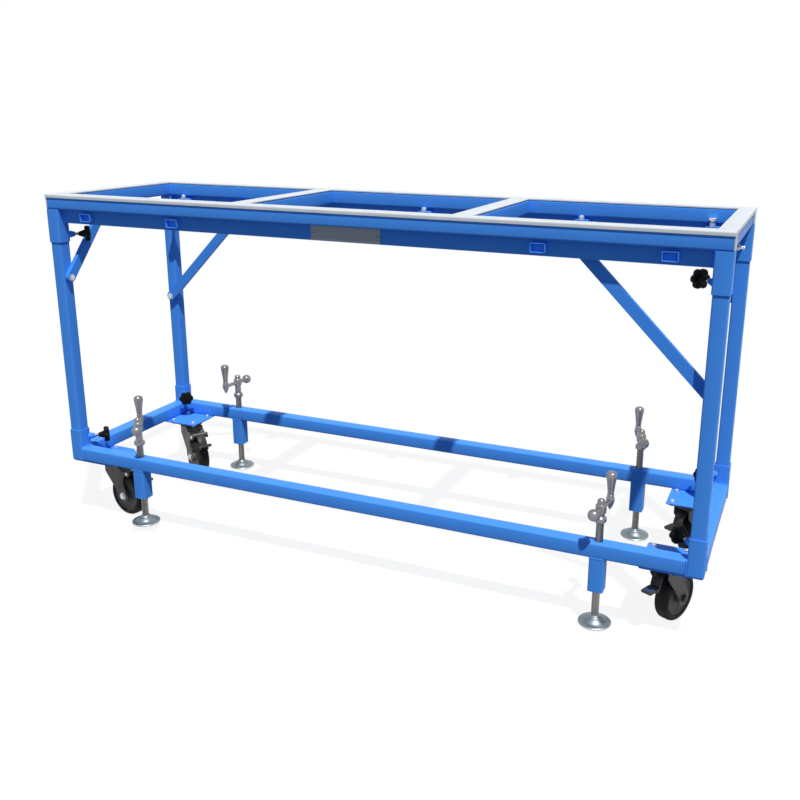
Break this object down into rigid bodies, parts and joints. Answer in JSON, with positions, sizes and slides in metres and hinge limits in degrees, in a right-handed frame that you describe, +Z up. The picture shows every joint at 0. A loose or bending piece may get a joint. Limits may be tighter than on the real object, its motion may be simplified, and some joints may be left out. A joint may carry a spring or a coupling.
{
  "type": "mobile assembly table",
  "caption": "Open-topped steel assembly table with plastic-faced rails, socketed legs with clamp knobs, swivel brake casters and crank-down levelling jacks.",
  "frame": {"origin": "on the floor at the centre of the footprint", "axes": "+X along the length to the right, +Y from the front to the rear, +Z up"},
  "size_m": [1.83, 0.6155, 0.961],
  "materials": {
    "blue_paint": "satin blue powder coat",
    "white_plastic": "milled white polyethylene",
    "plate_aluminium": "bare satin sheet",
    "fork_steel": "dark plated pressed steel",
    "tyre_rubber": "black rubber tread on a grey hub",
    "zinc_steel": "zinc plated",
    "polished_steel": "polished turned steel",
    "black_plastic": "moulded black plastic"
  },
  "bodies": {
    "frame": {"base_end_left": "blue_paint", "base_end_right": "blue_paint", "base_rail_front": "blue_paint", "base_rail_rear": "blue_paint", "leg_fl": "blue_paint", "leg_fr": "blue_paint", "leg_rl": "blue_paint", "leg_rr": "blue_paint", "apron_front": "blue_paint", "apron_rear": "blue_paint", "top_rail_front": "blue_paint", "top_rail_rear": "blue_paint", "top_end_left": "blue_paint", "top_end_right": "blue_paint", "cross_bar_left": "blue_paint", "cross_bar_right": "blue_paint", "strip_front": "white_plastic", "strip_rear": "white_plastic", "strip_left": "white_plastic", "strip_right": "white_plastic", "strip_cross_left": "white_plastic", "strip_cross_right": "white_plastic", "name_plate": "plate_aluminium", "brace_fl": "blue_paint", "brace_fr": "blue_paint", "brace_rl": "blue_paint", "brace_rr": "blue_paint", "rail_cap_fl": "white_plastic", "rail_cap_fr": "white_plastic", "rail_cap_rl": "white_plastic", "rail_cap_rr": "white_plastic"},
    "caster_fl": {"caster_fork_fl": "fork_steel"},
    "wheel_fl": {"caster_wheel_fl": "tyre_rubber"},
    "brake_fl": {"caster_pedal_fl": "fork_steel"},
    "caster_fr": {"caster_fork_fr": "fork_steel"},
    "wheel_fr": {"caster_wheel_fr": "tyre_rubber"},
    "brake_fr": {"caster_pedal_fr": "fork_steel"},
    "caster_rl": {"caster_fork_rl": "fork_steel"},
    "wheel_rl": {"caster_wheel_rl": "tyre_rubber"},
    "brake_rl": {"caster_pedal_rl": "fork_steel"},
    "caster_rr": {"caster_fork_rr": "fork_steel"},
    "wheel_rr": {"caster_wheel_rr": "tyre_rubber"},
    "brake_rr": {"caster_pedal_rr": "fork_steel"},
    "pad_fl": {"jack_pad_fl": "zinc_steel"},
    "crank_fl": {"jack_screw_fl": "polished_steel"},
    "pad_fr": {"jack_pad_fr": "zinc_steel"},
    "crank_fr": {"jack_screw_fr": "polished_steel"},
    "pad_rl": {"jack_pad_rl": "zinc_steel"},
    "crank_rl": {"jack_screw_rl": "polished_steel"},
    "pad_rr": {"jack_pad_rr": "zinc_steel"},
    "crank_rr": {"jack_screw_rr": "polished_steel"},
    "knob_top_fl": {"knob_top_fl": "black_plastic"},
    "knob_top_fr": {"knob_top_fr": "black_plastic"},
    "knob_top_rl": {"knob_top_rl": "black_plastic"},
    "knob_top_rr": {"knob_top_rr": "black_plastic"},
    "knob_base_fl": {"knob_base_fl": "black_plastic"},
    "knob_base_fr": {"knob_base_fr": "black_plastic"},
    "knob_base_rl": {"knob_base_rl": "black_plastic"},
    "knob_base_rr": {"knob_base_rr": "black_plastic"}
  },
  "joints": [
    {"name": "swivel_fl", "type": "hinge", "parent": "frame", "child": "caster_fl", "pos_m": [-0.821, -0.179, 0.1742], "axis": [0, 0, 1], "continuous": true},
    {"name": "roll_fl", "type": "hinge", "parent": "caster_fl", "child": "wheel_fl", "pos_m": [-0.77655, -0.18604, 0.0635], "axis": [0.1564, 0.9877, 0], "continuous": true},
    {"name": "brake_press_fl", "type": "hinge", "parent": "caster_fl", "child": "brake_fl", "pos_m": [-0.75186, -0.18995, 0.14], "axis": [0.1564, 0.9877, 0], "range_deg": [0, 8]},
    {"name": "swivel_fr", "type": "hinge", "parent": "frame", "child": "caster_fr", "pos_m": [0.821, -0.179, 0.1742], "axis": [0, 0, 1], "continuous": true},
    {"name": "roll_fr", "type": "hinge", "parent": "caster_fr", "child": "wheel_fr", "pos_m": [0.8393, -0.13789, 0.0635], "axis": [-0.9135, 0.4067, 0], "continuous": true},
    {"name": "brake_press_fr", "type": "hinge", "parent": "caster_fr", "child": "brake_fr", "pos_m": [0.81693, -0.18814, 0.147], "axis": [0.9135, -0.4067, 0], "range_deg": [0, 8]},
    {"name": "swivel_rl", "type": "hinge", "parent": "frame", "child": "caster_rl", "pos_m": [-0.821, 0.179, 0.1742], "axis": [0, 0, 1], "continuous": true},
    {"name": "roll_rl", "type": "hinge", "parent": "caster_rl", "child": "wheel_rl", "pos_m": [-0.78284, 0.15515, 0.0635], "axis": [0.5299, 0.848, 0], "continuous": true},
    {"name": "brake_press_rl", "type": "hinge", "parent": "caster_rl", "child": "brake_rl", "pos_m": [-0.76164, 0.14191, 0.14], "axis": [0.5299, 0.848, 0], "range_deg": [0, 8]},
    {"name": "swivel_rr", "type": "hinge", "parent": "frame", "child": "caster_rr", "pos_m": [0.821, 0.179, 0.1742], "axis": [0, 0, 1], "continuous": true},
    {"name": "roll_rr", "type": "hinge", "parent": "caster_rr", "child": "wheel_rr", "pos_m": [0.8435, 0.21797, 0.0635], "axis": [-0.866, 0.5, 0], "continuous": true},
    {"name": "brake_press_rr", "type": "hinge", "parent": "caster_rr", "child": "brake_rr", "pos_m": [0.816, 0.17034, 0.147], "axis": [0.866, -0.5, 0], "range_deg": [0, 8]},
    {"name": "jack_lift_fl", "type": "slide", "parent": "frame", "child": "pad_fl", "axis": [0, 0, 1], "range_m": [-0.03, 0.036]},
    {"name": "crank_turn_fl", "type": "hinge", "parent": "pad_fl", "child": "crank_fl", "pos_m": [-0.671, -0.246, 0.15], "axis": [0, 0, 1], "continuous": true},
    {"name": "jack_lift_fr", "type": "slide", "parent": "frame", "child": "pad_fr", "axis": [0, 0, 1], "range_m": [-0.02, 0.046]},
    {"name": "crank_turn_fr", "type": "hinge", "parent": "pad_fr", "child": "crank_fr", "pos_m": [0.671, -0.246, 0.15], "axis": [0, 0, 1], "continuous": true},
    {"name": "jack_lift_rl", "type": "slide", "parent": "frame", "child": "pad_rl", "axis": [0, 0, 1], "range_m": [-0.026, 0.04]},
    {"name": "crank_turn_rl", "type": "hinge", "parent": "pad_rl", "child": "crank_rl", "pos_m": [-0.671, 0.246, 0.15], "axis": [0, 0, 1], "continuous": true},
    {"name": "jack_lift_rr", "type": "slide", "parent": "frame", "child": "pad_rr", "axis": [0, 0, 1], "range_m": [-0.028, 0.038]},
    {"name": "crank_turn_rr", "type": "hinge", "parent": "pad_rr", "child": "crank_rr", "pos_m": [0.671, 0.246, 0.15], "axis": [0, 0, 1], "continuous": true},
    {"name": "turn_knob_top_fl", "type": "hinge", "parent": "frame", "child": "knob_top_fl", "pos_m": [-0.895, -0.242, 0.848], "axis": [0.7071, 0.7071, 0], "range_deg": [0, 720]},
    {"name": "turn_knob_top_fr", "type": "hinge", "parent": "frame", "child": "knob_top_fr", "pos_m": [0.895, -0.242, 0.848], "axis": [-0.7071, 0.7071, 0], "range_deg": [0, 720]},
    {"name": "turn_knob_top_rl", "type": "hinge", "parent": "frame", "child": "knob_top_rl", "pos_m": [-0.895, 0.242, 0.848], "axis": [0.7071, -0.7071, 0], "range_deg": [0, 720]},
    {"name": "turn_knob_top_rr", "type": "hinge", "parent": "frame", "child": "knob_top_rr", "pos_m": [0.895, 0.242, 0.848], "axis": [-0.7071, -0.7071, 0], "range_deg": [0, 720]},
    {"name": "turn_knob_base_fl", "type": "hinge", "parent": "frame", "child": "knob_base_fl", "pos_m": [-0.895, -0.242, 0.246], "axis": [0.7071, 0.7071, 0], "range_deg": [0, 720]},
    {"name": "turn_knob_base_fr", "type": "hinge", "parent": "frame", "child": "knob_base_fr", "pos_m": [0.895, -0.242, 0.246], "axis": [-0.7071, 0.7071, 0], "range_deg": [0, 720]},
    {"name": "turn_knob_base_rl", "type": "hinge", "parent": "frame", "child": "knob_base_rl", "pos_m": [-0.895, 0.242, 0.246], "axis": [0.7071, -0.7071, 0], "range_deg": [0, 720]},
    {"name": "turn_knob_base_rr", "type": "hinge", "parent": "frame", "child": "knob_base_rr", "pos_m": [0.895, 0.242, 0.246], "axis": [-0.7071, -0.7071, 0], "range_deg": [0, 720]}
  ],
  "couplings": [
    {"joint": "crank_turn_fl", "follows": "jack_lift_fl", "rad_per_m": 1570.8},
    {"joint": "crank_turn_fr", "follows": "jack_lift_fr", "rad_per_m": 1570.8},
    {"joint": "crank_turn_rl", "follows": "jack_lift_rl", "rad_per_m": 1570.8},
    {"joint": "crank_turn_rr", "follows": "jack_lift_rr", "rad_per_m": 1570.8}
  ]
}
